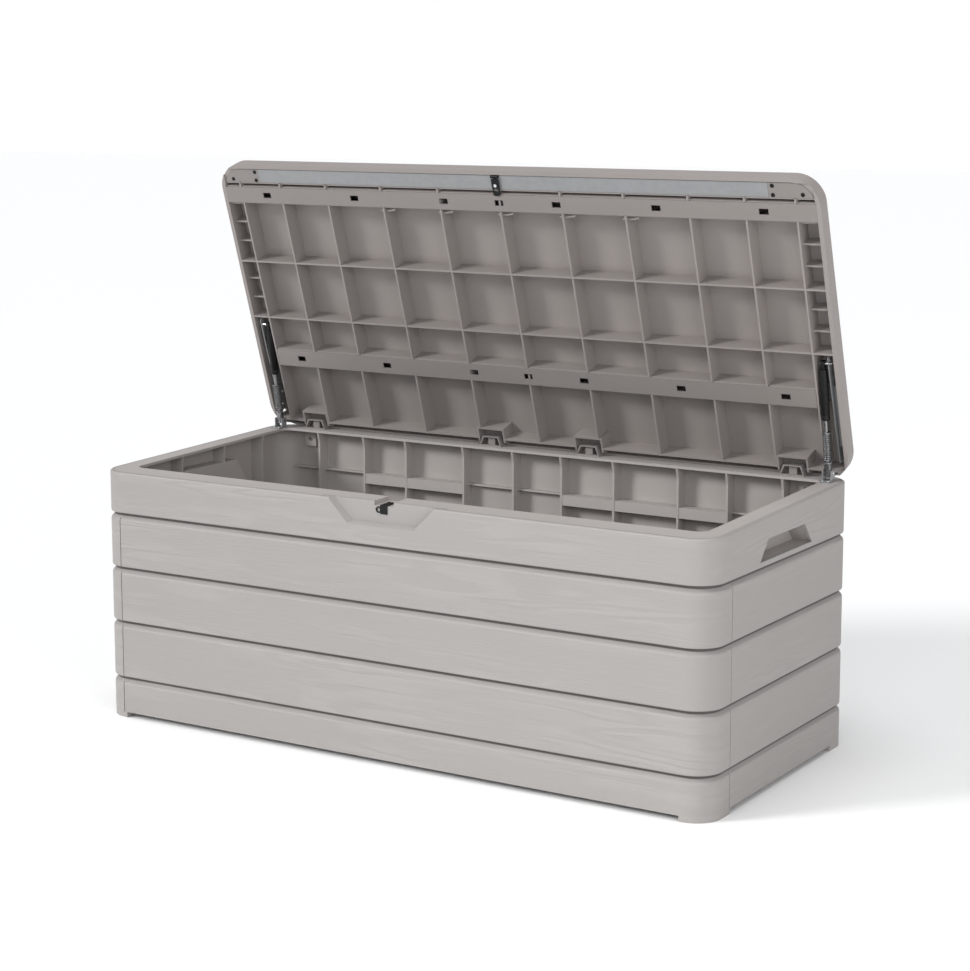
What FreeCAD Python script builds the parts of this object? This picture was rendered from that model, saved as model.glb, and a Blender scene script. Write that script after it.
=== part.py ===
import FreeCAD, Part
import math
import os

# Deck storage box: a moulded plank tub with a ribbed lid on four hinges, two sprung stays and a hasp.
# X runs along the box, Y to the back, Z up; the origin is the middle of the footprint on the floor.

os.makedirs("parts", exist_ok=True)
doc = FreeCAD.newDocument("deck_storage_box")
V = FreeCAD.Vector

SIZES = {
    # tub
    "boxWidth": 1510, "boxDepth": 680, "cornerRadius": 60, "frontRim": 557, "backRim": 577,
    "skin": 12, "footHeight": 12, "footAlong": 64, "footSide": 95, "grooveDepth": 8, "undercut": 4.5, "shoulder": 9,
    "grooveOne": 89, "grooveTwo": 217, "grooveThree": 340, "grooveFour": 462, "rimThick": 6,
    "frontRimWidth": 66, "sideRimWidth": 48, "backRimWidth": 52, "ribDepth": 34, "ribThick": 5,
    "floorLow": 24, "floorThick": 6, "seamInset": 57, "seamSide": 92, "seamWidth": 2, "ledgeDrop": 96, "edgeRound": 5, "rimRound": 4,
    # latch recess and hand holds
    "latchTopHalf": 135, "latchLowHalf": 84, "latchTall": 50, "latchDeep": 15, "notchHalf": 24, "notchDeep": 9,
    "holdTopHalf": 88, "holdLowHalf": 125, "holdTop": 520, "holdLow": 477, "holdDeep": 44, "holdWall": 4,
    # lid, measured from the hinge line towards its front edge
    "hingeFromCentre": 322, "hingeLift": 13, "lidAngle": 72, "lidHalfWidth": 759, "lidRear": 14,
    "lidFront": 666, "lidTop": 34, "lidUnder": -12.5, "lidSkin": 4, "lidLip": 9.5, "lidCorner": 62,
    "lidRound": 18, "lidRib": 4, "lidRearUnder": 3.5, "stripReach": 749.5, "rowOne": 280, "rowTwo": 423.5,
    "stripLowStart": 154.5, "stripLowEnd": 196, "stripHighStart": 572.5, "stripHighEnd": 611,
    "barStart": 621, "barEnd": 655, "barHalf": 646, "sheet": 2, "coverThick": 3,
    # hinges
    "hingeInner": 129, "hingeOuter": 629, "lugTopHalf": 21, "lugLowHalf": 29, "lugRise": 9.5,
    "lugFront": 20, "lugRear": 4.5, "pinRadius": 3, "pinClear": 0.05, "cavityHalf": 32, "cheek": 4,
    # stays
    "stayAcross": 720, "stayFootForward": 37, "stayFootUp": 4, "stayEyeAlong": 253.5, "stayEyeUp": 0,
    "cylinderRadius": 9, "rodRadius": 4, "springRadius": 9, "springWire": 2.2, "springTurns": 14,
    "armAcross": 736, "armThick": 2, "slidePin": 3, "slotClear": 0.8,
    # hasp
    "haspHalf": 9, "haspLong": 44, "haspAlong": 653, "haspAxisUp": -13.9, "haspPin": 1.6,
}
sheet = doc.addObject("Spreadsheet::Sheet", "Sizes")
for row, (name, value) in enumerate(SIZES.items(), start=1):
    sheet.set(f"A{row}", name)
    sheet.set(f"B{row}", str(value))
    sheet.setAlias(f"B{row}", name)
doc.recompute()


def size(name):
    """Value of one cell of the sheet, in millimetres or degrees."""
    return float(sheet.get(name))


half_w = size("boxWidth") / 2
half_d = size("boxDepth") / 2
skin = size("skin")
slope = math.degrees(math.atan2(size("backRim") - size("frontRim"), size("boxDepth")))
hinge_y = size("hingeFromCentre")


def rim_z(y):
    """Height of the sloping rim at one distance from the middle of the box."""
    return size("frontRim") + (y + half_d) * math.tan(math.radians(slope))


hinge_z = rim_z(hinge_y) + size("hingeLift") / math.cos(math.radians(slope))
HINGES = [sign * size(name) for name in ("hingeOuter", "hingeInner") for sign in (-1, 1)]
LID_PLACE = FreeCAD.Placement(V(0, hinge_y, hinge_z), FreeCAD.Rotation(V(1, 0, 0), -size("lidAngle")))
GROOVES = [size(name) for name in ("grooveOne", "grooveTwo", "grooveThree", "grooveFour")]
TALL = size("backRim") + 40


# ---- shapes shared by the nodes ----

def block(x0, x1, y0, y1, z0, z1):
    return Part.makeBox(x1 - x0, y1 - y0, z1 - z0, V(x0, y0, z0))


def rod(start, end, radius):
    axis = end - start
    return Part.makeCylinder(radius, axis.Length, start, axis)


def prism(points, direction):
    """Solid swept from a closed outline along one direction."""
    return Part.Face(Part.makePolygon(points + [points[0]])).extrude(direction)


def rounded(x0, x1, y0, y1, z0, z1, radius):
    """Box with its four upright edges rounded."""
    solid = block(x0, x1, y0, y1, z0, z1)
    upright = [e for e in solid.Edges if abs(e.Vertexes[0].Z - e.Vertexes[1].Z) > 1e-6]
    return solid.makeFillet(radius, upright)


def fused(shapes):
    return shapes[0].multiFuse(shapes[1:]).removeSplitter()


def node(label, shape, on_lid=False):
    """Put one finished shape in the document under its node name."""
    item = doc.addObject("Part::Feature", label)
    item.Label = label
    item.Shape = shape
    if on_lid:
        item.Placement = LID_PLACE
    return item


def sheet_body(label, outline, holes, thick, lift, place):
    """Flat plate with round-cornered windows: a padded sketch bound to the sheet, then pockets."""
    body = doc.addObject("PartDesign::Body", label)
    body.Label = label
    plane = next(o for o in body.Origin.OriginFeatures if o.Role == "XY_Plane")
    for kind, boxes in (("Pad", [outline]), ("Pocket", holes)):
        if not boxes:
            continue
        sketch = body.newObject("Sketcher::SketchObject", f"{label}_{kind}_sketch")
        sketch.AttachmentSupport = [(plane, "")]
        sketch.MapMode = "FlatFace"
        for x0, x1, y0, y1 in boxes:
            corners = [V(x0, y0, 0), V(x1, y0, 0), V(x1, y1, 0), V(x0, y1, 0)]
            for start, end in zip(corners, corners[1:] + corners[:1]):
                sketch.addGeometry(Part.LineSegment(start, end), False)
        feature = body.newObject(f"PartDesign::{kind}", f"{label}_{kind}")
        feature.Profile = sketch
        if kind == "Pad":
            feature.setExpression("Length", f"Sizes.{thick}")
        else:
            feature.Type = 1
            feature.Midplane = True
    body.Placement = place.multiply(FreeCAD.Placement(V(0, 0, lift), FreeCAD.Rotation()))
    return body


# ---- tub ----

def under_rim(drop=0.0):
    """Everything below the sloping rim plane, lowered by drop."""
    outline = [V(-900, -half_d - 60, -10), V(-900, half_d + 60, -10),
               V(-900, half_d + 60, rim_z(half_d + 60) - drop), V(-900, -half_d - 60, rim_z(-half_d - 60) - drop)]
    return prism(outline, V(1800, 0, 0))


def plank_outline(inset):
    """Upright section of the skin with the notches between the planks; inset is measured inwards."""
    points = [(0, size("footHeight"))]
    rise, fall, deep, soft = size("undercut"), size("shoulder"), size("grooveDepth"), size("edgeRound")
    for groove in GROOVES:
        points += [(0, groove - fall - soft * 0.8), (deep * 0.16, groove - fall), (deep, groove - 1.5),
                   (deep, groove + 1.5), (deep * 0.14, groove + rise), (0, groove + rise + soft * 0.5)]
    return points + [(0, TALL), (inset, TALL), (inset, size("footHeight"))]


def plank_skin():
    """Skin all round: the section drawn along the four sides and turned around the four corners."""
    radius = size("cornerRadius")
    section = plank_outline(skin)
    shapes = []
    for sx in (-1, 1):
        side = [V(sx * (half_w - u), -half_d + radius, z) for u, z in section]
        shapes.append(prism(side, V(0, 2 * (half_d - radius), 0)))
    for sy in (-1, 1):
        side = [V(-half_w + radius, sy * (half_d - u), z) for u, z in section]
        shapes.append(prism(side, V(2 * (half_w - radius), 0, 0)))
    for sx in (-1, 1):
        for sy in (-1, 1):
            centre = V(sx * (half_w - radius), sy * (half_d - radius), 0)
            points = [centre + V(sx * (radius - u), 0, z) for u, z in section]
            face = Part.Face(Part.makePolygon(points + [points[0]]))
            shapes.append(face.revolve(centre, V(0, 0, 1), 90 * sx * sy))
    return fused(shapes)


front_in = -half_d + size("frontRimWidth")
back_in = half_d - size("backRimWidth")
side_in = half_w - size("sideRimWidth")
RIB_X = (64, 199, 360, 480, 612)
RIB_Y = (-235, -105, 50, 198)


def rim_shelf():
    """Flat rim around the mouth, sloping with the lid."""
    ring = rounded(-half_w, half_w, -half_d, half_d, 300, TALL, size("cornerRadius"))
    mouth = rounded(-side_in, side_in, front_in, back_in, 200, TALL + 5, 22)
    slab = under_rim().cut(under_rim(size("rimThick")))
    return ring.cut(mouth).common(slab)


def wall_ribs():
    """Upright ribs that flare out to the rim in their top part."""
    low = size("floorLow") + size("floorThick")
    thick = size("ribThick") / 2
    depth = skin - 1 + size("ribDepth")
    shapes = []
    for x in [s * r for r in RIB_X for s in (-1, 1)]:
        for sy, mouth in ((-1, front_in), (1, back_in)):
            wall = sy * (half_d - skin + 1)
            inner = sy * (half_d - depth)
            top = rim_z(mouth) - 3
            points = [V(x - thick, wall, low), V(x - thick, inner, low), V(x - thick, inner, top - 28),
                      V(x - thick, mouth, top), V(x - thick, wall, top)]
            shapes.append(prism(points, V(2 * thick, 0, 0)))
    for y in RIB_Y:
        for sx in (-1, 1):
            wall = sx * (half_w - skin + 1)
            inner = sx * (half_w - depth)
            top = rim_z(y) - 3
            points = [V(wall, y - thick, low), V(inner, y - thick, low), V(inner, y - thick, top - 20),
                      V(sx * side_in, y - thick, top), V(wall, y - thick, top)]
            shapes.append(prism(points, V(0, 2 * thick, 0)))
    return shapes


def wall_ledges():
    """Thin shelf below the rim along front and back, with a deep bar in five bays."""
    shapes = []
    for sy in (-1, 1):
        wall = sy * (half_d - skin + 1)
        top = rim_z(sy * half_d) - size("ledgeDrop")
        near, far = sorted((wall, wall - sy * 16))
        shapes.append(block(-half_w + 60, half_w - 60, near, far, top - 4, top))
        near, far = sorted((wall, wall - sy * 33))
        for x0, x1 in ((-480, -360), (-360, -199), (64, 199), (199, 360), (360, 480)):
            shapes.append(block(x0, x1, near, far, top - 24, top))
    return shapes


def hold_prism(grow, outer, inner, side):
    """Trapezoid of one hand hold between two distances from the outer face."""
    top, low = size("holdTop") + grow, size("holdLow") - grow
    wide_top, wide_low = size("holdTopHalf") + grow, size("holdLowHalf") + grow
    x = side * (half_w - outer)
    points = [V(x, -wide_low, low), V(x, wide_low, low), V(x, wide_top, top), V(x, -wide_top, top)]
    return prism(points, V(-side * (inner - outer), 0, 0))


def latch_recess():
    """Shallow trapezoid in the top front plank with sloping flanks, open at the rim."""
    top = size("frontRim") + 5
    low = size("frontRim") - size("latchTall")
    deep = size("latchDeep")
    outer = [V(-size("latchTopHalf") - 8, 0, top), V(-size("latchLowHalf"), 0, low),
             V(size("latchLowHalf"), 0, low), V(size("latchTopHalf") + 8, 0, top)]
    wires = []
    for inset, y in ((-0.5, -half_d - 1), (5.5, -half_d + deep)):
        points = [V(p.x - math.copysign(inset, p.x), y, p.z + (inset * 0.9 if p.z < top else 6)) for p in outer]
        wires.append(Part.makePolygon(points + [points[0]]))
    return Part.makeLoft(wires, True, True)


def rim_notch(grow, low, high):
    """Channel across the front rim for the hasp, between two depths below the rim."""
    half = size("notchHalf") + grow
    region = block(-half, half, -half_d - 5, front_in + (5 if grow == 0 else 0), 300, TALL)
    return region.common(under_rim(high).cut(under_rim(low)))


def eased_envelope():
    """Outline of the tub under the rim plane, its top edge rounded all the way round."""
    shell = rounded(-half_w, half_w, -half_d, half_d, 0, TALL, size("cornerRadius")).common(under_rim())
    top_edges = [e for e in shell.Edges if all(abs(v.Z - rim_z(v.Y)) < 1e-4 for v in e.Vertexes)]
    return shell.makeFillet(size("rimRound"), top_edges)


def tub_shape():
    shapes = [plank_skin().common(under_rim()), rim_shelf()] + wall_ribs() + wall_ledges()
    for side in (-1, 1):
        shapes.append(hold_prism(size("holdWall"), 2, size("holdDeep") + size("holdWall"), side))
    notch = size("notchDeep")
    shapes.append(rim_notch(5, notch + 5, 3))
    solid = fused(shapes).common(eased_envelope())
    for side in (-1, 1):
        solid = solid.cut(hold_prism(0, -2, size("holdDeep"), side))
    deep = size("latchDeep")
    backing = block(-160, 160, -half_d + 8, -half_d + deep + 6, 492, 553)
    solid = solid.fuse(backing.common(under_rim(3))).cut(latch_recess())
    return solid.cut(rim_notch(0, notch, -10))


def panel_regions():
    """Plan areas of the four corner-wrapping panels, cut one after the other around the box."""
    seam_x = half_w - size("seamInset")
    seam_y = half_d - size("seamSide")
    big = 900
    tall = (-20, TALL + 20)
    front = block(-seam_x, big, -big, -seam_y, *tall).fuse(block(-seam_x, seam_x, -seam_y, 0, *tall))
    back = block(-big, seam_x, seam_y, big, *tall).fuse(block(-seam_x, seam_x, 0, seam_y, *tall))
    left = block(-big, -seam_x, -big, seam_y, *tall)
    right = block(seam_x, big, -seam_y, big, *tall)
    return {"front_panel": front, "back_panel": back, "left_panel": left, "right_panel": right}


def seam_cuts():
    """Narrow upright grooves where the panels meet, below the top plank."""
    seam_x = half_w - size("seamInset")
    seam_y = half_d - size("seamSide")
    gap = size("seamWidth") / 2
    z0, z1 = size("footHeight") - 1, size("grooveFour")
    cuts = []
    for sign in (-1, 1):
        near, far = sorted((sign * (half_d + 1), sign * (half_d - 4)))
        cuts.append(block(sign * seam_x - gap, sign * seam_x + gap, near, far, z0, z1))
        near, far = sorted((-sign * (half_w + 1), -sign * (half_w - 4)))
        cuts.append(block(near, far, sign * seam_y - gap, sign * seam_y + gap, z0, z1))
    return cuts


tub = tub_shape()
for cut in seam_cuts():
    tub = tub.cut(cut)
pad_spots = [(sign * 655, half_d - skin) for sign in (-1, 1)]
for name, region in panel_regions().items():
    panel = tub.common(region)
    if name == "back_panel":
        panel = fused([panel] + [block(x - 16, x + 16, y - 9, y + 1, 530, 566) for x, y in pad_spots])
        for x, y in pad_spots:
            panel = panel.cut(rod(V(x, y - 10, 548), V(x, y - 1, 548), 2.2))
    node(name, panel.removeSplitter())
node("corner_pad_screws", Part.makeCompound([
    fused([rod(V(x, y - 9.5, 548), V(x, y - 3, 548), 2.0), rod(V(x, y - 11.5, 548), V(x, y - 9, 548), 4.5)])
    for x, y in pad_spots]))


def base_shape():
    """Floor tray with four corner feet and a middle foot with a flat sole."""
    inner = skin + 0.2
    round_in = size("cornerRadius") - inner
    low, thick = size("floorLow"), size("floorThick")
    floor = rounded(-half_w + inner, half_w - inner, -half_d + inner, half_d - inner, low, low + thick, round_in)
    shapes = [floor, block(-110, 110, -70, 70, 0, low)]
    reach, reach_side = size("footAlong"), size("footSide")
    outer = rounded(-half_w, half_w, -half_d, half_d, 0, size("footHeight"), size("cornerRadius"))
    for sx in (-1, 1):
        for sy in (-1, 1):
            xs = sorted((sx * half_w, sx * (half_w - reach)))
            ys = sorted((sy * half_d, sy * (half_d - reach_side)))
            shapes.append(outer.common(block(*xs, *ys, 0, size("footHeight"))))
            xs = sorted((sx * (half_w - inner), sx * (half_w - reach)))
            ys = sorted((sy * (half_d - inner), sy * (half_d - reach_side)))
            shapes.append(rounded(-half_w + inner, half_w - inner, -half_d + inner, half_d - inner,
                                  size("footHeight"), low, round_in).common(block(*xs, *ys, 0, low)))
    for x in (-480, -240, 240, 480):
        shapes.append(block(x - 3, x + 3, -half_d + 52, half_d - 52, low + thick - 1, low + thick + 8))
    return fused(shapes)


node("base_tray", base_shape())

# ---- padlock staple ----

face_y = -half_d + size("latchDeep")
staple_top = rim_z(face_y) - size("notchDeep")
plate_half, plate_drop, ring_out = 8.5, 17, 12.5
arm = block(-plate_half, plate_half, face_y - 2, front_in - 20, staple_top, staple_top + 2)
plate = block(-plate_half, plate_half, face_y - 2.2, face_y - 0.2, staple_top - plate_drop, staple_top + 2)
ring = Part.makeTorus(5.5, 1.4, V(-ring_out, face_y - 1.7, staple_top - plate_drop / 2), V(0, 1, 0))
tilt = FreeCAD.Rotation(V(1, 0, 0), slope)
arm.Placement = FreeCAD.Placement(V(0, 0, 0), FreeCAD.Rotation()).multiply(
    FreeCAD.Placement(V(0, 0, 0), tilt, V(0, face_y, staple_top)))
staple = fused([arm, plate, ring]).cut(under_rim(-9).cut(under_rim(-5)))
node("padlock_staple", staple)
node("staple_rivets", Part.makeCompound([
    Part.makeCylinder(2.6, 1.2, V(x, face_y + 24, rim_z(face_y + 24) - size("notchDeep") + 2.2), V(0, 0, 1))
    for x in (-4.6, 4.6)]))

# ---- hinges ----


def hinge_lug(x):
    """Hollow trapezoid standing on the back rim, open to the front, with an eye block inside."""
    low_z, high_z = hinge_z - size("hingeLift") - 0.6, hinge_z + size("lugRise")
    y0, y1 = hinge_y - size("lugFront"), hinge_y + size("lugRear")

    def hull(inset, front, back, low):
        top, bottom = size("lugTopHalf") - inset, size("lugLowHalf") - inset
        points = [V(x - bottom, front, low), V(x + bottom, front, low),
                  V(x + top, front, high_z - inset), V(x - top, front, high_z - inset)]
        return prism(points, V(0, back - front, 0))

    shell = hull(0, y0, y1, low_z).cut(hull(3, y0 - 1, y1 - 3, low_z + 3))
    boss = block(x - 9, x + 9, y0 + 6, y1 - 1, low_z + 1, hinge_z + 5)
    lug = fused([shell, boss]).common(under_rim(-60).cut(under_rim(0)))
    return lug.cut(rod(V(x - 40, hinge_y, hinge_z), V(x + 40, hinge_y, hinge_z), size("pinRadius")))


def lug_pin(x):
    reach = size("cavityHalf") + size("cheek") - 0.5
    return rod(V(x - reach, hinge_y, hinge_z), V(x + reach, hinge_y, hinge_z), size("pinRadius"))


node("hinge_lugs", Part.makeCompound([hinge_lug(x) for x in HINGES]))
node("hinge_pins", Part.makeCompound([lug_pin(x) for x in HINGES]))

# ---- lid, drawn flat with the hinge line as its origin ----

under, top = size("lidUnder"), size("lidTop")
wide = size("lidHalfWidth")
HOOKS = (-309.6, -156, 0, 156, 309.6)
LID_RIBS = [sign * x for x in (156, 309.6, 461.7, 590.7, 704.6) for sign in (-1, 1)] + [0]


def lid_slab(inset, low, high):
    return rounded(-wide + inset, wide - inset, -size("lidFront") + inset, size("lidRear") - inset * 0.5,
                   low, high, size("lidCorner") - inset)


def across(s, thick, x0=-wide + 5, x1=wide - 5, low=under):
    """Rib along the width at one distance from the hinge line."""
    return block(x0, x1, -s - thick / 2, -s + thick / 2, low, top - 1)


def lid_shape():
    rib = size("lidRib")
    outer = lid_slab(0, under, top)
    rim_edges = [e for e in outer.Edges if all(abs(v.Z - top) < 1e-6 for v in e.Vertexes)]
    outer = outer.makeFillet(size("lidRound"), rim_edges)
    hollow = lid_slab(size("lidLip"), under - 5, top - size("lidSkin"))
    shell = outer.cut(hollow)
    ribs = [block(x - rib / 2, x + rib / 2, -size("barStart"), -5, under, top - 1) for x in LID_RIBS]
    inner = 704.6
    ribs += [across(8, rib), across(size("rowOne"), rib), across(size("rowTwo"), rib)]
    reach = size("stripReach")
    seat = under + size("coverThick") + 0.1
    ribs += [across(size(n), rib, low=seat, x0=-reach, x1=reach)
             for n in ("stripLowStart", "stripLowEnd", "stripHighStart", "stripHighEnd")]
    ribs.append(across(size("barStart"), 4, low=under + 4.4))
    for s in (327, 375.5, 471.5, 519.5, 566):
        for sign in (-1, 1):
            x0, x1 = sorted((sign * inner, sign * (wide - 5)))
            ribs.append(across(s, 4, x0, x1, under + 12))
    for x in HINGES:
        for sign in (-1, 1):
            near, far = sorted((sign * size("cavityHalf"), sign * (size("cavityHalf") + size("cheek"))))
            ribs.append(block(x + near, x + far, -34, size("lidRear") - 6, under, top - 1))
        ribs.append(across(32, 4, x - 34, x + 34))
        ribs.append(block(x - 34, x + 34, -32, size("lidRear") - 6, 13, 17))
    bar_seat = block(-wide + 5, wide - 5, -size("barEnd") - 3, -size("barStart"), under + 4.4, under + 9)
    lid = fused([shell, bar_seat] + ribs).common(outer)
    for s0, s1 in (("stripLowStart", "stripLowEnd"), ("stripHighStart", "stripHighEnd")):
        half = size("stripReach") if s0 == "stripHighStart" else inner - 2.5
        lid = lid.cut(block(-half, half, -size(s1) - 0.2, -size(s0) + 0.2, under - 5, seat))
    lid = lid.cut(block(-wide + 12, wide - 12, -size("barEnd"), -size("barStart") - 2, under - 5, under + 4.4))
    cavity = [block(x - size("cavityHalf"), x + size("cavityHalf"), -30, size("lidRear") - 4, under - 5, 13)
              for x in HINGES]
    rear_cut = prism([V(-900, 0, under - 1), V(-900, 30, under - 1), V(-900, 30, size("lidRearUnder")),
                      V(-900, size("lidRear"), size("lidRearUnder")), V(-900, 9.5, size("lidRearUnder"))],
                     V(1800, 0, 0))
    bores = [rod(V(x - 60, 0, 0), V(x + 60, 0, 0), size("pinRadius") + size("pinClear")) for x in HINGES]
    stay_room = [block(*sorted((s * 708, s * 749)), -size("rowOne") + 4, -12, under - 5, 24) for s in (-1, 1)]
    hasp_room = [block(-14, 14, -size("haspAlong") - 4, -size("haspAlong") + 52, under - 5, under + 1.8)]
    hook_seats = [rod(V(x - 9, -562, under + 8), V(x + 9, -562, under + 8), 4.5) for x in HOOKS]
    for tool in cavity + [rear_cut] + bores + stay_room + hasp_room + hook_seats:
        lid = lid.cut(tool)
    return lid.removeSplitter()


node("lid_shell", lid_shape(), on_lid=True)

# Flat pieces let into the underside of the lid.
WINDOWS = [-632, -385, -144, 0, 144, 385, 632]


def strip(label, start, end, strip_reach):
    mid = (size(start) + size(end)) / 2
    holes = [(x - 11, x + 11, -mid - 6.5, -mid + 6.5) for x in WINDOWS]
    outline = (-strip_reach, strip_reach, -size(end) + 0.2, -size(start) - 0.2)
    return sheet_body(label, outline, holes, "coverThick", under, LID_PLACE)


strip("middle_channel_cover", "stripLowStart", "stripLowEnd", 701.8)
strip("front_channel_cover", "stripHighStart", "stripHighEnd", size("stripReach") - 0.3)
bar_low = under + 2.4
bar_box = (-size("barHalf"), size("barHalf"), -size("barEnd") + 0.4, -size("barStart") - 2.4)
sheet_body("lid_front_bar", bar_box, [], "sheet", bar_low, LID_PLACE)

plate_wide = wide - size("lidLip") - 0.4
PLATE_SCREWS = [(656, 628), (656, 648), (722, 630)]
for side, name in ((-1, "left"), (1, "right")):
    xs = sorted((side * (size("barHalf") + 0.4), side * (plate_wide - 3)))
    flat = lid_slab(size("lidLip") + 0.4, bar_low, bar_low + size("sheet"))
    piece = flat.common(block(*xs, -size("barEnd") + 0.4, -size("barStart") - 2.4, -30, 30))
    node(f"bar_end_plate_{name}", piece, on_lid=True)
node("end_plate_screws", Part.makeCompound([
    Part.makeCylinder(4.6, 1.6, V(sign * x, -s, bar_low - 1.65), V(0, 0, 1))
    for x, s in PLATE_SCREWS for sign in (-1, 1)]), on_lid=True)


def lid_hook(x):
    """Small coat-hook moulding on a rib: a knob on one side and a rising arm on the other."""
    z = under + 8
    base = rod(V(x - 9, -562, z), V(x + 3, -562, z), 4.5)
    arm_path = Part.makePolygon([V(x + 2.6, -562, z), V(x + 13, -562, z), V(x + 31, -566.5, z - 4)])
    profile = Part.Wire(Part.makeCircle(3, V(x + 2.6, -562, z), V(1, 0, 0)))
    arm = arm_path.makePipeShell([profile], True, False)
    return fused([base, arm])


node("lid_hooks", Part.makeCompound([s for x in HOOKS for s in lid_hook(x).Solids]), on_lid=True)

# ---- hasp ----

axis_s, axis_z = size("haspAlong"), size("haspAxisUp")
KNUCKLE_IN, KNUCKLE_OUT = 4, 9
knuckles = [Part.makeCylinder(3.2, 5, V(x, -axis_s, axis_z), V(1, 0, 0)) for x in (-KNUCKLE_OUT, KNUCKLE_IN)]
tabs = [block(x, x + 5, -axis_s - 3.1, -axis_s + 3.1, axis_z, bar_low - 1) for x in (-KNUCKLE_OUT, KNUCKLE_IN)]
back_plate = block(-KNUCKLE_OUT, KNUCKLE_OUT, -axis_s - 3.1, -axis_s + 3.1, bar_low - 1.6, bar_low)
pin_hole = rod(V(-30, -axis_s, axis_z), V(30, -axis_s, axis_z), size("haspPin"))
clear = rod(V(-KNUCKLE_IN, -axis_s, axis_z), V(KNUCKLE_IN, -axis_s, axis_z), 3.7)
node("hasp_bracket", fused(knuckles + tabs + [back_plate]).cut(clear).cut(pin_hole), on_lid=True)
node("hasp_pin", rod(V(-9.9, -axis_s, axis_z), V(9.9, -axis_s, axis_z), size("haspPin") - 0.02), on_lid=True)

leaf_half, leaf_end = size("haspHalf"), -axis_s + size("haspLong")
leaf = fused([block(-leaf_half, leaf_half, -axis_s + 5, leaf_end, axis_z - 1, axis_z + 1),
              block(-3.6, 3.6, -axis_s, -axis_s + 6, axis_z - 1, axis_z + 1),
              rod(V(-3.6, -axis_s, axis_z), V(3.6, -axis_s, axis_z), 3.2)])
leaf_edges = [e for e in leaf.Edges if abs(e.BoundBox.YMin - leaf_end) < 1e-6 and e.BoundBox.XLength < 1e-6]
leaf = leaf.makeFillet(5, leaf_edges)
slot_y = leaf_end - 13
leaf = leaf.cut(fused([block(-2.5, 2.5, slot_y - 3.5, slot_y + 3.5, axis_z - 3, axis_z + 3)]
                      + [rod(V(x, slot_y, axis_z - 3), V(x, slot_y, axis_z + 3), 3.5) for x in (-2.5, 2.5)]))
leaf = leaf.cut(rod(V(-30, -axis_s, axis_z), V(30, -axis_s, axis_z), size("haspPin") + 0.05))
node("hasp_leaf", leaf, on_lid=True)
node("hasp_rivet", Part.makeCylinder(3.6, 1.2, V(0, -axis_s + 20, axis_z - 2.25), V(0, 0, 1)), on_lid=True)

# ---- sprung stays ----

foot = V(0, hinge_y - size("stayFootForward"), hinge_z + size("stayFootUp"))
eye_lid = V(0, -size("stayEyeAlong"), size("stayEyeUp"))
eye = LID_PLACE.multVec(eye_lid)
stay_dir = (eye - foot).normalize()
stay_long = (eye - foot).Length
stay_turn = FreeCAD.Rotation(V(0, 0, 1), stay_dir)


def stay_place(x):
    """Frame of one stay: its origin on the foot pin, its Z along the rod."""
    return FreeCAD.Placement(V(x, foot.y, foot.z), stay_turn)


def base_bracket(x):
    """Folded steel foot on the side rim: a sole and two cheeks around the rod end."""
    sole_z = rim_z(foot.y) + 0.35
    sole = block(x - 12, x + 12, foot.y - 22, foot.y + 12, sole_z, sole_z + 2)
    cheeks = [block(x + s * 10 - 1, x + s * 10 + 1, foot.y - 9, foot.y + 9, sole_z, foot.z + 6) for s in (-1, 1)]
    hole = rod(V(x - 20, foot.y, foot.z), V(x + 20, foot.y, foot.z), 3)
    return fused([sole] + cheeks).cut(hole)


def spring(x):
    """Coil around the rod with closed ends."""
    turns, wire = size("springTurns"), size("springWire")
    tall = 61 - wire
    helix = Part.makeHelix(tall / turns, tall, size("springRadius") - wire / 2)
    profile = Part.Wire(Part.makeCircle(wire / 2, V(size("springRadius") - wire / 2, 0, 0), V(0, 1, 0)))
    coil = helix.makePipeShell([profile], True, True)
    coil.Placement = FreeCAD.Placement(V(0, 0, 25 + wire / 2 + 0.4), FreeCAD.Rotation())
    return coil


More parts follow.
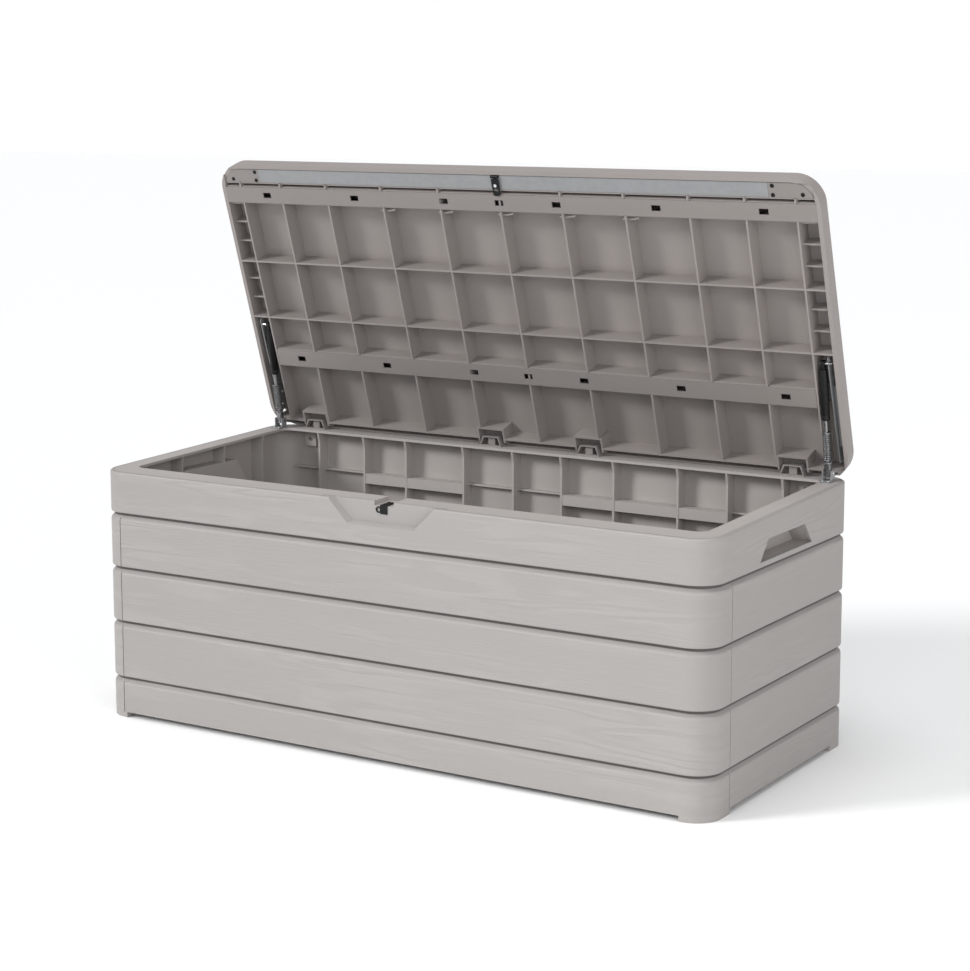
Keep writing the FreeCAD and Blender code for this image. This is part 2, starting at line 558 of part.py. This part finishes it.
for side, name in ((-1, "left"), (1, "right")):
    x = side * size("stayAcross")
    node(f"stay_base_{name}", base_bracket(x))
    end_block = block(-7, 7, -6, 6, -7, 22).cut(rod(V(-9, 0, 0), V(9, 0, 0), 3.05))
    end_cap = Part.makeCylinder(9.5, 3, V(0, 0, 22), V(0, 0, 1))
    collar = Part.makeCylinder(9.5, 4, V(0, 0, 86.8), V(0, 0, 1))
    core = Part.makeCylinder(size("rodRadius"), 150, V(0, 0, 20), V(0, 0, 1))
    rod_item = node(f"stay_rod_{name}", fused([end_block, end_cap, collar, core]))
    rod_item.Placement = stay_place(x)
    coil_item = doc.addObject("Part::Feature", f"stay_spring_{name}")
    coil_item.Label = f"stay_spring_{name}"
    coil_item.Shape = Part.makeCompound([spring(x)]).Solids[0]
    coil_item.Placement = stay_place(x).multiply(coil_item.Placement)
    cylinder_low = 117
    tube = Part.makeCylinder(size("cylinderRadius"), stay_long - 12 - cylinder_low, V(0, 0, cylinder_low), V(0, 0, 1))
    bore = Part.makeCylinder(size("rodRadius") + 0.4, 90, V(0, 0, cylinder_low - 1), V(0, 0, 1))
    eye_block = block(-5, 5, -6.5, 6.5, stay_long - 14, stay_long + 6)
    eye_hole = rod(V(-9, 0, stay_long), V(9, 0, stay_long), size("slidePin"))
    cylinder = node(f"stay_cylinder_{name}", fused([tube, eye_block]).cut(bore).cut(eye_hole))
    cylinder.Placement = stay_place(x)
    reach_in, reach_out = -7.0, size("armAcross") - size("stayAcross") + 4.5
    span = (reach_in, reach_out) if side > 0 else (-reach_out, -reach_in)
    slide = rod(V(span[0], 0, stay_long), V(span[1], 0, stay_long), size("slidePin") - 0.02)
    pin_item = node(f"stay_slide_pin_{name}", slide)
    pin_item.Placement = stay_place(x)

    # Steel arm on the lid: wide at the hinge end, with the slot of the open pivot at its narrow end.
    arm_x = side * size("armAcross") - size("armThick") / 2
    outline = [V(arm_x, -25, 16), V(arm_x, -25, -4), V(arm_x, -120, -8), V(arm_x, -240, -9),
               V(arm_x, -268, -9), V(arm_x, -276, 2), V(arm_x, -268, 9), V(arm_x, -190, 12), V(arm_x, -60, 24)]
    arm = prism(outline, V(size("armThick"), 0, 0))
    flange = block(*sorted((arm_x + 1, side * 748.6)), -200, -60, 6, 8)
    slot_dir = V(0, -0.8511, -0.5250)
    half = size("slidePin") + size("slotClear")
    start, end = eye_lid, eye_lid + slot_dir * 8.7
    normal = V(0, slot_dir.z, -slot_dir.y) * half
    shift = V(arm_x - 3, 0, 0)
    middle = prism([start + normal + shift, end + normal + shift, end - normal + shift, start - normal + shift],
                   V(8, 0, 0))
    slot = fused([middle] + [rod(p + shift, p + shift + V(8, 0, 0), half) for p in (start, end)])
    node(f"stay_arm_{name}", fused([arm, flange]).cut(slot), on_lid=True)

node("stay_pivot_pins", Part.makeCompound([
    rod(V(s * size("stayAcross") - 12, foot.y, foot.z), V(s * size("stayAcross") + 12, foot.y, foot.z), 2.98)
    for s in (-1, 1)]))
sole_top = rim_z(foot.y) + 2.4
node("stay_base_screws", Part.makeCompound([
    Part.makeCylinder(3.2, 1.8, V(s * size("stayAcross") + dx, foot.y - 16, sole_top), V(0, 0, 1))
    for s in (-1, 1) for dx in (-7, 7)]))
node("stay_arm_screws", Part.makeCompound([
    Part.makeCylinder(4, 2.4, V(s * (size("armAcross") - 1.05), y, z), V(-s, 0, 0))
    for s in (-1, 1) for y, z in ((-40, 6), (-70, 14), (-150, 2))]), on_lid=True)

# ---- check and write ----

doc.recompute()
names = [o for o in doc.Objects if o.TypeId in ("Part::Feature", "PartDesign::Body")]
for item in doc.Objects:
    if {"Invalid", "Error"} & set(item.State):
        raise RuntimeError(f"{item.Label} did not recompute: {item.State}")
for item in names:
    shape = item.Shape
    if shape.isNull() or not shape.isValid() or not shape.Solids:
        raise RuntimeError(f"{item.Label} has no sound solid")
    print(item.Label, len(shape.Solids), round(shape.Volume / 1000, 1), "cm3")
    shape.exportStep(f"parts/{item.Label}.step")
print(len(names), "nodes; hinge line", round(hinge_y, 2), round(hinge_z, 3), "slope", round(slope, 4))
print("stay foot", foot, "eye", eye, "length", stay_long)
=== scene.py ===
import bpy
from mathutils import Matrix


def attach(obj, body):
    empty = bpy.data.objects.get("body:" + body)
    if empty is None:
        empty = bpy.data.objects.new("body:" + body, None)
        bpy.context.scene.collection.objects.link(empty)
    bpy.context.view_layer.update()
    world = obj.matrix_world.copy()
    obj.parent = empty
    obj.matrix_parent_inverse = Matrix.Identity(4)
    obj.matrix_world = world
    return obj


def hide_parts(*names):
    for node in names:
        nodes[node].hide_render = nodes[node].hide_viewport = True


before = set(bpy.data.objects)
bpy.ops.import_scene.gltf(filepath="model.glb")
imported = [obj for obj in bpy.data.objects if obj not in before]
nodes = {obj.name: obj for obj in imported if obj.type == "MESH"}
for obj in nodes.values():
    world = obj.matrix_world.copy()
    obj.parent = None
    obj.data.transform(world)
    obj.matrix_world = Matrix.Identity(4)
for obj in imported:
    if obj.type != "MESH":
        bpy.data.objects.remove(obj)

# %% [markdown]
# # Plank-pattern deck storage box
# The CAD model gives every piece its place. This script dresses it: moulded resin with an embossed
# wood grain on the outside, a plainer taupe resin under the lid, galvanised and blackened steel for
# the fittings, and finer versions of the springs, stays and screws made with mesh operators.
# Everything is in metres: X along the box, Y to the back, Z up.

# %% Tools and the lid's hinge
import math
import bmesh
import bpy
from mathutils import Matrix, Vector

scene = bpy.context.scene
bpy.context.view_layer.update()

LID_ANGLE = math.radians(72)
HINGE = Vector((0, 0.322, 0.589476))
LID_TO_WORLD = Matrix.Translation(HINGE) @ Matrix.Rotation(-LID_ANGLE, 4, "X")


# %% [markdown]
# ## Shader arithmetic
# A socket is wrapped so that sums and products of procedural patterns read like ordinary formulas.
# Plain numbers go through Math nodes, and colours and vectors through Mix and Vector Math nodes.

# %% Socket wrapper
class Field:
    """One output of a shader tree, with arithmetic that adds Math nodes."""

    def __init__(self, tree, socket):
        self.tree = tree
        self.socket = socket

    def math(self, operation, *others):
        made = self.tree.nodes.new("ShaderNodeMath")
        made.operation = operation
        for slot, value in zip(made.inputs, (self, *others)):
            if isinstance(value, Field):
                self.tree.links.new(value.socket, slot)
            else:
                slot.default_value = value
        return Field(self.tree, made.outputs[0])

    def __add__(self, other):
        return self.math("ADD", other)

    def __mul__(self, other):
        return self.math("MULTIPLY", other)

    def __sub__(self, other):
        return self.math("SUBTRACT", other)

    def __rsub__(self, other):
        return self * -1.0 + other

    __radd__ = __add__
    __rmul__ = __mul__

    def node(self, kind, settings=None, out=0, **values):
        """Any other node: its settings first, then a value or a link for each named socket."""
        made = self.tree.nodes.new(kind)
        for name, value in (settings or {}).items():
            setattr(made, name, value)
        for name, value in values.items():
            slot = made.inputs[int(name[1:])] if name[1:].isdigit() else made.inputs[name.replace("_", " ")]
            if isinstance(value, Field):
                self.tree.links.new(value.socket, slot)
            else:
                slot.default_value = value
        return Field(self.tree, made.outputs[out])

    def vector(self, x, y, z):
        return self.node("ShaderNodeCombineXYZ", X=x, Y=y, Z=z)

    def noise(self, where, scale, detail=2.0, rough=0.5, distort=0.0):
        return self.node("ShaderNodeTexNoise", Vector=where, Scale=scale, Detail=detail,
                         Roughness=rough, Distortion=distort)

    def ramp(self, low, high):
        """0 below low, 1 above high, smooth between."""
        return self.node("ShaderNodeMapRange", {"interpolation_type": "SMOOTHSTEP"},
                         Value=self, From_Min=low, From_Max=high)

    def blend(self, first, second):
        """First colour at 0, second at 1; each is a shade or another field."""
        first, second = (c if isinstance(c, Field) else (*c, 1.0) for c in (first, second))
        return self.node("ShaderNodeMix", {"data_type": "RGBA"}, out=2, _0=self, _6=first, _7=second)


# %% [markdown]
# ## Start of every material
# Each material reads the coordinates of its piece, which are those of the whole box, since every piece
# sits at the origin. Relief is given as a height and goes through a Bump node.

# %% Surface builder
def start(name):
    """New material with its shader and the coordinates of the piece in the box's own frame."""
    material = bpy.data.materials.new(name)
    material.use_nodes = True
    tree = material.node_tree
    shader = tree.nodes["Principled BSDF"]
    coordinates = tree.nodes.new("ShaderNodeTexCoord")
    split = tree.nodes.new("ShaderNodeSeparateXYZ")
    tree.links.new(coordinates.outputs["Object"], split.inputs[0])
    where = Field(tree, coordinates.outputs["Object"])
    x, y, z = (Field(tree, s) for s in split.outputs)
    return material, shader, where, x, y, z


def plug(shader, field, name):
    """Link a field to one of the shader's sockets."""
    field.tree.links.new(field.socket, shader.inputs[name])


def relief(shader, height, depth, strength):
    """Bump from a height field."""
    bump = height.node("ShaderNodeBump", Height=height, Distance=depth, Strength=strength)
    plug(shader, bump, "Normal")


# %% [markdown]
# ## Resin with embossed grain
# Long contour lines are the level curves of a noise stretched along the plank. Each plank has its own
# seed, so the pattern breaks at the grooves the way separate boards would. The bottom of each groove
# is darkened with painted shade, and the plain inside of the tub is lightened with painted light.

# %% Grained resin
# Dark and light tone of each resin, and the painted shade in a groove.
RESIN_DARK, RESIN_LIGHT = (0.305, 0.286, 0.274), (0.357, 0.337, 0.324)
# Painted light: the inner pair is a lighter copy of the outer resin, standing in for light reaching the inside of
# the tub.
INNER_DARK_PAINTED_LIT, INNER_LIGHT_PAINTED_LIT = (0.392, 0.362, 0.345), (0.430, 0.400, 0.382)
COVER_DARK, COVER_LIGHT = (0.216, 0.194, 0.184), (0.252, 0.228, 0.217)
# Painted shade: the dark colour laid along the middle of each groove.
GROOVE_PAINTED_SHADE = (0.085, 0.077, 0.072)
GROOVE_HEIGHTS = (0.089, 0.217, 0.340, 0.462)
GROOVE_LIFT = 0.0012    # from a groove's lower edge to the middle of its painted shade
GROOVE_FADE = (0.0026, 0.0044)    # where the painted shade starts to thin out and where it ends
ROUND_AT = (0.695, 0.280)    # centres of the tub's rounded corners
WALL_DEPTH = (0.0492, 0.0508)    # from those centres to the middle of the wall
RECESS_HALF, RECESS_BACK, RECESS_LOW = 0.158, (0.3195, 0.3205), (0.492, 0.493)


def grain(along, across, seed):
    """Embossed line pattern, 0 in a line and 1 between lines, for one length and one width coordinate."""
    slow = along.vector(along * 1.1, across * 10.0, seed)
    contour = along.noise(slow, 1.5, 2.0, 0.5, 0.5) * 44.0
    rings = contour.math("SINE") * 0.5 + 0.5
    streak = along.noise(along.vector(along * 9.0, across * 330.0, seed), 1.0, 3.0, 0.6)
    bold = along.noise(along.vector(along * 2.2, across * 16.0, seed + 5.0), 1.0, 2.0).ramp(0.42, 0.62)
    return rings.ramp(0.0, 0.8) * bold * 0.55 + streak * 0.5


def on_outside(x, y, z):
    """1 on the outer faces of the tub, its latch recess included, and 0 on its inner side."""
    over_x = (x.math("ABSOLUTE") - ROUND_AT[0]).math("MAXIMUM", 0.0)
    over_y = (y.math("ABSOLUTE") - ROUND_AT[1]).math("MAXIMUM", 0.0)
    wrap = (over_x * over_x + over_y * over_y).math("SQRT").ramp(*WALL_DEPTH)
    beside = (RECESS_HALF - x.math("ABSOLUTE")).ramp(0.0, 0.001)
    recess = beside * (y * -1.0).ramp(*RECESS_BACK) * z.ramp(*RECESS_LOW)
    return wrap.math("MAXIMUM", recess)


def plank_resin(name, turn):
    """Outside resin; turn is +1 or -1 so the grain runs on around the corners a panel covers."""
    material, shader, where, x, y, z = start(name)
    board = sum((z.math("GREATER_THAN", height) for height in GROOVE_HEIGHTS[1:]),
                z.math("GREATER_THAN", GROOVE_HEIGHTS[0]))
    pattern = grain(x + y * turn, z, board * 3.7)
    cloud = where.noise(where, 3.5, 3.0)
    # clear is 0 in the middle of each groove, where the painted shade goes, and 1 away from the grooves.
    clear = 1.0
    for height in GROOVE_HEIGHTS:
        clear = (z - (height + GROOVE_LIFT)).math("ABSOLUTE").ramp(*GROOVE_FADE) * clear
    outer = on_outside(x, y, z)
    face = (pattern * 0.6 + cloud * 0.45).blend(RESIN_DARK, RESIN_LIGHT)
    # Painted light: the inside of the tub is plain resin in the lighter inner pair.
    plain = cloud.blend(INNER_DARK_PAINTED_LIT, INNER_LIGHT_PAINTED_LIT)
    plug(shader, outer.blend(plain, clear.blend(GROOVE_PAINTED_SHADE, face)), "Base Color")
    plug(shader, pattern * 0.10 + 0.50, "Roughness")
    shader.inputs["Specular IOR Level"].default_value = 0.4
    relief(shader, pattern * outer, 0.0015, 0.8)
    return material


front_resin = plank_resin("resin_front_back", 1.0)
side_resin = plank_resin("resin_sides", -1.0)
print("grained resins made")


# %% [markdown]
# ## Lid resin
# The top of the lid carries the same grain; its ribbed underside is smoother and a little warmer.
# The height over the rim plane, worked out from the lid's lean, tells the two apart.

# %% Lid resin
LID_DARK, LID_LIGHT = (0.266, 0.239, 0.228), (0.304, 0.276, 0.263)
LID_FACE = (0.0325, 0.0335)    # just under the lid's top, over the hinge line


def lid_resin(name):
    """Grain on the lid's top, plain resin on all below it."""
    material, shader, where, x, y, z = start(name)
    cosine, sine = math.cos(LID_ANGLE), math.sin(LID_ANGLE)
    along_lid = (z - HINGE.z) * sine - (y - HINGE.y) * cosine
    over_rim = (z - HINGE.z) * cosine + (y - HINGE.y) * sine
    outside = over_rim.ramp(*LID_FACE)
    pattern = grain(x, along_lid, 11.0)
    fine = where.noise(where, 900.0, 2.0)
    cloud = where.noise(where, 5.0, 3.0)
    inner = (cloud * 0.7 + fine * 0.3).blend(LID_DARK, LID_LIGHT)
    outer = (pattern * 0.5 + cloud * 0.5).blend(RESIN_DARK, RESIN_LIGHT)
    plug(shader, outside.blend(inner, outer), "Base Color")
    plug(shader, cloud * 0.08 + 0.46, "Roughness")
    relief(shader, pattern * outside + fine * 0.12, 0.0011, 0.6)
    return material


lid_material = lid_resin("resin_lid")


def plain_resin(name, dark, light):
    """Smooth moulded resin with faint flow marks."""
    material, shader, where, x, y, z = start(name)
    flow = where.noise(where.vector(x * 4.0, y * 18.0, z * 18.0), 1.0, 3.0)
    fine = where.noise(where, 800.0, 2.0)
    plug(shader, (flow * 0.7 + fine * 0.3).blend(dark, light), "Base Color")
    plug(shader, flow * 0.1 + 0.45, "Roughness")
    relief(shader, fine, 0.0002, 0.5)
    return material


tray_resin = plain_resin("resin_tray", RESIN_DARK, RESIN_LIGHT)
cover_resin = plain_resin("resin_covers", COVER_DARK, COVER_LIGHT)


# %% [markdown]
# ## Metals
# Galvanised sheet has soft spangle, blackened steel has scuffs, and bright parts have fine brushing.

# %% Metals
def metal(name, dark, light, rough, scale, scuff, metallic=1.0, shine=0.5):
    """Two shades in spots of one scale, scuffed in roughness and finely brushed along X."""
    material, shader, where, x, y, z = start(name)
    spots = where.noise(where, scale, 4.0, 0.6)
    brushed = where.noise(where.vector(x * 30.0, y * 900.0, z * 900.0), 1.0, 2.0)
    plug(shader, (spots * 0.7 + brushed * 0.3).ramp(0.3, 0.7).blend(dark, light), "Base Color")
    plug(shader, spots * scuff + rough, "Roughness")
    shader.inputs["Metallic"].default_value = metallic
    shader.inputs["Specular IOR Level"].default_value = shine
    relief(shader, brushed, 0.00008, 0.5)
    return material


zinc = metal("galvanised", (0.276, 0.282, 0.290), (0.312, 0.318, 0.326), 0.40, 60.0, 0.15, 0.4)
black = metal("blackened", (0.004, 0.004, 0.004), (0.014, 0.014, 0.015), 0.34, 220.0, 0.20, 0.0, 0.22)
bright = metal("bright_plated", (0.62, 0.62, 0.62), (0.85, 0.85, 0.85), 0.15, 300.0, 0.20)
oiled = metal("oiled_spring", (0.16, 0.16, 0.165), (0.36, 0.36, 0.37), 0.25, 260.0, 0.25)

SURFACES = {
    "front_panel": front_resin, "back_panel": front_resin, "left_panel": side_resin,
    "right_panel": side_resin, "base_tray": tray_resin, "hinge_lugs": cover_resin,
    "lid_shell": lid_material, "middle_channel_cover": cover_resin, "front_channel_cover": cover_resin,
    "lid_hooks": cover_resin, "lid_front_bar": zinc, "bar_end_plate_left": cover_resin,
    "bar_end_plate_right": cover_resin,
    "stay_base_left": zinc, "stay_base_right": zinc, "stay_arm_left": zinc, "stay_arm_right": zinc,
    "padlock_staple": black, "staple_rivets": black, "hasp_bracket": black, "hasp_pin": black,
    "hasp_leaf": black, "end_plate_screws": black, "stay_cylinder_left": black, "stay_cylinder_right": black,
    "stay_rod_left": oiled, "stay_rod_right": oiled, "stay_spring_left": oiled, "stay_spring_right": oiled,
}
for name, item in nodes.items():
    item.data.materials.clear()
    item.data.materials.append(SURFACES.get(name, bright))
print(len(nodes), "CAD pieces dressed")

# %% [markdown]
# ## Finer small pieces
# The springs, stays and screws are small next to the box, so they are drawn again with rounded
# edges. Each is built in its own simple frame, then carried to its place on the box.

# %% Helpers for the small pieces
SHARP_FROM = math.radians(38)


def finish_piece(name, bm, material, body, replaced):
    """Clean the mesh, turn it into an object at the origin and let it ride its body."""
    bmesh.ops.remove_doubles(bm, verts=bm.verts, dist=1e-6)
    bmesh.ops.recalc_face_normals(bm, faces=bm.faces)
    mesh = bpy.data.meshes.new(name)
    for face in bm.faces:
        face.smooth = True
    bm.to_mesh(mesh)
    bm.free()
    mesh.materials.append(material)
    mesh.set_sharp_from_angle(angle=SHARP_FROM)
    made = bpy.data.objects.new(name, mesh)
    scene.collection.objects.link(made)
    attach(made, body)
    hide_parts(*replaced)
    print(name, len(mesh.polygons), "faces")


def turned(bm, profile, steps, move):
    """Spin an outline of (radius, height) pairs about Z and carry it with a matrix."""
    verts = [bm.verts.new((radius, 0, height)) for radius, height in profile]
    edges = [bm.edges.new(pair) for pair in zip(verts, verts[1:])]
    before = set(bm.verts) - set(verts)
    bmesh.ops.spin(bm, geom=verts + edges, cent=(0, 0, 0), axis=(0, 0, 1), angle=2 * math.pi,
                   steps=steps, use_merge=True)
    bmesh.ops.transform(bm, matrix=move, verts=[v for v in bm.verts if v not in before])


def eased_block(bm, low, high, round_by, move):
    """Rectangular lug with rounded edges between two corners."""
    low, high = Vector(low), Vector(high)
    made = bmesh.ops.create_cube(bm, size=1.0, matrix=Matrix.Translation((low + high) / 2)
                                 @ Matrix.Diagonal((*(high - low), 1.0)))
    edges = list({e for v in made["verts"] for e in v.link_edges})
    bevelled = bmesh.ops.bevel(bm, geom=edges, offset=round_by, segments=3, profile=0.5,
                               affect="EDGES", material=-1)
    verts = {v for f in bevelled["faces"] for v in f.verts}
    bmesh.ops.transform(bm, matrix=move, verts=list(verts))


# %% [markdown]
# ### Stays
# Each stay is drawn upright from its foot pin and leaned to its place: a rod with its end block, cap
# and collar, the coil between the two, and the black cylinder that slides along the rod.

# %% Rod, spring and cylinder
STAY_ACROSS, STAY_FOOT_Y, STAY_FOOT_Z, STAY_LONG = 0.72, 0.285, 0.593476, 0.240669
STAY_LEAN = math.asin(0.171754)
SPRING_RADIUS, SPRING_WIRE, SPRING_TURNS, STEPS_A_TURN = 0.0079, 0.0022, 14, 20
SPRING_FOOT, SPRING_CLIMB = 0.0266, 0.0585


def stay_frame(side):
    """Origin on the foot pin, Z up along the rod."""
    foot = Matrix.Translation((side * STAY_ACROSS, STAY_FOOT_Y, STAY_FOOT_Z))
    return foot @ Matrix.Rotation(STAY_LEAN, 4, "X")


def stay_spring(name, side):
    """Round wire swept up and around the rod."""
    bm = bmesh.new()
    start_at = Matrix.Translation((SPRING_RADIUS, 0, SPRING_FOOT)) @ Matrix.Rotation(math.pi / 2, 4, "X")
    circle = bmesh.ops.create_circle(bm, cap_ends=False, segments=8, radius=SPRING_WIRE / 2, matrix=start_at)
    ring = circle["verts"] + list({e for v in circle["verts"] for e in v.link_edges})
    steps = SPRING_TURNS * STEPS_A_TURN
    bmesh.ops.spin(bm, geom=ring, cent=(0, 0, 0), axis=(0, 0, 1), dvec=(0, 0, SPRING_CLIMB / steps),
                   angle=2 * math.pi * SPRING_TURNS, steps=steps)
    bmesh.ops.holes_fill(bm, edges=[e for e in bm.edges if e.is_boundary], sides=0)
    bmesh.ops.transform(bm, matrix=stay_frame(side), verts=bm.verts)
    finish_piece(f"spring_{name}", bm, oiled, f"rod_{name}", [f"stay_spring_{name}"])


def stay_rod(name, side):
    """End block on the foot pin, cap under the spring, collar over it and the polished rod."""
    bm = bmesh.new()
    place = stay_frame(side)
    eased_block(bm, (-0.007, -0.006, -0.007), (0.007, 0.006, 0.022), 0.002, place)
    cap = [(0, 0.0215), (0.0088, 0.0215), (0.0095, 0.0222), (0.0095, 0.0243), (0.0088, 0.025), (0, 0.025)]
    collar = [(0, 0.0868), (0.0086, 0.0868), (0.0095, 0.0876), (0.0095, 0.09), (0.0086, 0.0908), (0, 0.0908)]
    polished = [(0, 0.02), (0.004, 0.02), (0.004, 0.168), (0.0032, 0.17), (0, 0.17)]
    turned(bm, cap, 36, place)
    turned(bm, collar, 36, place)
    turned(bm, polished, 28, place)
    finish_piece(f"rod_{name}", bm, oiled, f"rod_{name}", [f"stay_rod_{name}"])


def stay_cylinder(name, side):
    """Black tube with rolled ends and the eye for the top pin."""
    bm = bmesh.new()
    place = stay_frame(side)
    low, high = 0.117, STAY_LONG - 0.012
    bore = [(0.0044, low + 0.03), (0.0044, low)]
    rolled = [(0.0076, low), (0.0088, low + 0.0012), (0.009, low + 0.003), (0.009, low + 0.0085),
              (0.0084, low + 0.0095), (0.0084, low + 0.0115), (0.009, low + 0.0125)]
    closed = [(0.009, high - 0.004), (0.0082, high - 0.0012), (0.006, high), (0, high)]
    turned(bm, bore + rolled + closed, 40, place)
    eased_block(bm, (-0.005, -0.0065, STAY_LONG - 0.014), (0.005, 0.0065, STAY_LONG + 0.006), 0.0022, place)
    finish_piece(f"cylinder_{name}", bm, black, f"cylinder_{name}", [f"stay_cylinder_{name}"])


for side_name, side_sign in (("left", -1), ("right", 1)):
    stay_spring(side_name, side_sign)
    stay_rod(side_name, side_sign)
    stay_cylinder(side_name, side_sign)


# %% [markdown]
# ### Screws
# One pan head is turned for each screw of the lid's corner plates and of the stay arms.

# %% Screw heads
def head(bm, radius, tall, place):
    """Pan head with a driving recess in its middle; it stands along Z on its seat."""
    profile = [(0, tall * 0.45), (radius * 0.24, tall * 0.45), (radius * 0.34, tall * 0.92), (radius * 0.62, tall),
               (radius * 0.86, tall * 0.78), (radius * 0.98, tall * 0.35), (radius, 0), (0, 0)]
    turned(bm, profile, 24, place)


def heads(name, node_name, body, material, radius, tall, places):
    """One piece holding a head at each place."""
    bm = bmesh.new()
    for place in places:
        head(bm, radius, tall, place)
    finish_piece(name, bm, material, body, [node_name])


def facing(point, direction):
    """Matrix that stands Z along a direction at one point."""
    return Matrix.Translation(point) @ Vector(direction).to_track_quat("Z", "Y").to_matrix().to_4x4()


BAR_FACE, ARM_FACE = -0.0101, 0.73495
heads("corner_plate_screws", "end_plate_screws", "lid", black, 0.0046, 0.0016,
      [LID_TO_WORLD @ facing((sign * x, -s, BAR_FACE), (0, 0, -1))
       for x, s in ((0.656, 0.628), (0.656, 0.648), (0.722, 0.630)) for sign in (-1, 1)])
heads("lid_arm_screws", "stay_arm_screws", "lid", bright, 0.004, 0.0024,
      [LID_TO_WORLD @ facing((sign * ARM_FACE, y, z), (-sign, 0, 0))
       for y, z in ((-0.040, 0.006), (-0.070, 0.014), (-0.150, 0.002)) for sign in (-1, 1)])

# %% [markdown]
# ## Floor, light and camera
# A pale floor, an even white surround, a soft key light from the upper left, a weaker one from the
# front, a broad one from above and a fill lamp on the right.

# %% Floor and light
FLOOR_HALF = 30.0
WHITE, COOL_WHITE, PALE = (1.0, 1.0, 1.0, 1), (0.96, 0.98, 1.0, 1), (0.93, 0.93, 0.93, 1)
SURROUND_STRENGTH = 0.40

scene.view_settings.view_transform = "Standard"
bm = bmesh.new()
bmesh.ops.create_grid(bm, x_segments=1, y_segments=1, size=FLOOR_HALF)
floor_mesh = bpy.data.meshes.new("floor")
bm.to_mesh(floor_mesh)
bm.free()
floor = bpy.data.objects.new("floor", floor_mesh)
scene.collection.objects.link(floor)
floor_paint = bpy.data.materials.new("floor_paint")
floor_paint.use_nodes = True
paint_shader = floor_paint.node_tree.nodes["Principled BSDF"]
paint_shader.inputs["Base Color"].default_value = PALE
paint_shader.inputs["Roughness"].default_value = 0.9
floor_mesh.materials.append(floor_paint)

# The camera sees pure white, and the piece is lit by a weaker, slightly cool surround.
world = bpy.data.worlds.new("surround")
world.use_nodes = True
tree = world.node_tree
backdrop = tree.nodes["Background"]
backdrop.inputs["Color"].default_value = WHITE
backdrop.inputs["Strength"].default_value = 1.0
dimmer = tree.nodes.new("ShaderNodeBackground")
dimmer.inputs["Color"].default_value = COOL_WHITE
dimmer.inputs["Strength"].default_value = SURROUND_STRENGTH
rays = tree.nodes.new("ShaderNodeLightPath")
seen = tree.nodes.new("ShaderNodeMixShader")
tree.links.new(rays.outputs["Is Camera Ray"], seen.inputs[0])
tree.links.new(dimmer.outputs[0], seen.inputs[1])
tree.links.new(backdrop.outputs[0], seen.inputs[2])
tree.links.new(seen.outputs[0], tree.nodes["World Output"].inputs[0])
scene.world = world


def light(data, direction, place=(0, 0, 0)):
    """Put a light in the scene, shining along one direction."""
    made = bpy.data.objects.new(data.name, data)
    made.location = place
    made.rotation_euler = Vector(direction).to_track_quat("-Z", "Y").to_euler()
    scene.collection.objects.link(made)


def lamp(name, place, aim, size, power):
    """Large soft lamp pointed at one spot."""
    data = bpy.data.lights.new(name, "AREA")
    data.size = size
    data.energy = power
    light(data, Vector(aim) - Vector(place), place)


def far_light(name, direction, strength, softness):
    """Even light from one direction, softened by its angular size in degrees."""
    data = bpy.data.lights.new(name, "SUN")
    data.energy = strength
    data.angle = math.radians(softness)
    light(data, direction)


far_light("key_light", (0.64, 0.66, -0.46), 1.95, 16)
far_light("top_light", (0.05, 0.12, -1.0), 1.2, 40)
far_light("front_light", (-0.30, 0.90, -0.30), 0.45, 30)
lamp("fill_lamp", (4.5, -2.5, 1.8), (0, 0, 0.4), 3.0, 80.0)

# %% [markdown]
# ## Camera
# It stands at the right of the front, a little above the lid's hinge line, and looks slightly down.

# %% Camera
camera_data = bpy.data.cameras.new("camera")
camera_data.lens = 83.92
camera_data.sensor_width = 36.0
camera_data.shift_y = -0.0572
camera_data.clip_end = 100.0
camera = bpy.data.objects.new("camera", camera_data)
camera.location = (2.5806, -4.1081, 1.4113)
camera.rotation_euler = (math.radians(90 - 8.756), 0, math.radians(31.703))
scene.collection.objects.link(camera)
scene.camera = camera
